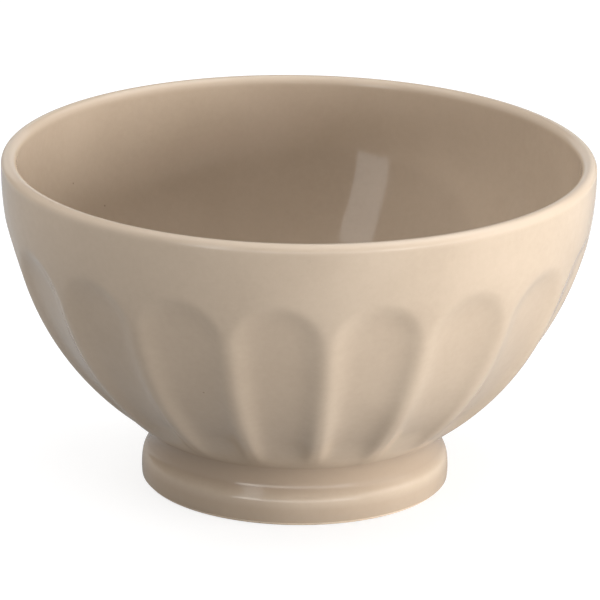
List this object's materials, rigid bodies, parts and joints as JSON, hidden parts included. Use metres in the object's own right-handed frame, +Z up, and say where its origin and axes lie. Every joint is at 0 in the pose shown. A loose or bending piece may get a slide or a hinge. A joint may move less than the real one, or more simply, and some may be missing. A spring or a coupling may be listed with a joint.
{
  "type": "latte bowl",
  "caption": "Footed latte bowl in glossy glazed stoneware: round plain lip, arched scooped flutes around the wall, rolled foot with a bare standing edge. Holds a hot drink or breakfast.",
  "frame": {"origin": "middle of the foot's standing face, on the bowl's axis", "axes": "+Z up along the bowl's axis; the pictured side faces -Y"},
  "size_m": [0.14, 0.14, 0.0793],
  "materials": {
    "glazed_stoneware": "fired stoneware under a glossy taupe glaze",
    "bare_foot": "fired stoneware, matte, wiped clean of glaze at the standing edge",
    "slip": "fired slip, matte",
    "glaze_foot": "glossy taupe glaze",
    "glaze_inside": "glossy taupe glaze",
    "glaze_base": "glossy taupe glaze"
  },
  "bodies": {
    "root": {"bowl_body": "glazed_stoneware", "foot_ring": "bare_foot", "slip_seam": "slip", "foot_glaze": "glaze_foot", "inside_glaze": "glaze_inside", "base_glaze": "glaze_base"}
  },
  "joints": []
}
